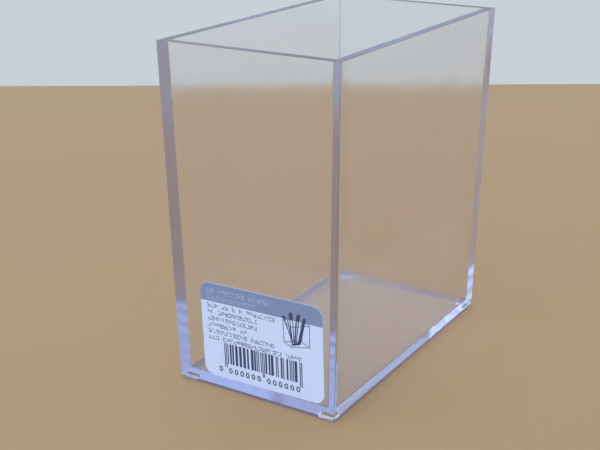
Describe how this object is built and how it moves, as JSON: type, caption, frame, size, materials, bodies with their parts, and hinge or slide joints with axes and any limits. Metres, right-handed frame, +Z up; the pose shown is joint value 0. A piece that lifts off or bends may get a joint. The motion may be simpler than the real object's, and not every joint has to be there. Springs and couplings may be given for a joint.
{
  "type": "pen holder cup",
  "caption": "Clear rectangular desk cup with drafted walls, low corner feet and a printed label low on one narrow face; stands upright and holds pens.",
  "frame": {"origin": "on the standing surface, below the middle of the cup's outline", "axes": "+Z up, from the standing surface to the rim and the open mouth; +X along the narrow side of the cup; +Y along its wide side, so the label is on the narrow face at -Y"},
  "size_m": [0.0534, 0.091, 0.095],
  "materials": {
    "clear_polystyrene": "clear, polished",
    "adhesive": "matt, slightly milky",
    "label_paper": "semi-gloss coated paper"
  },
  "bodies": {
    "root": {"cup": "clear_polystyrene", "label_adhesive": "adhesive", "label_face": "label_paper"}
  },
  "joints": []
}
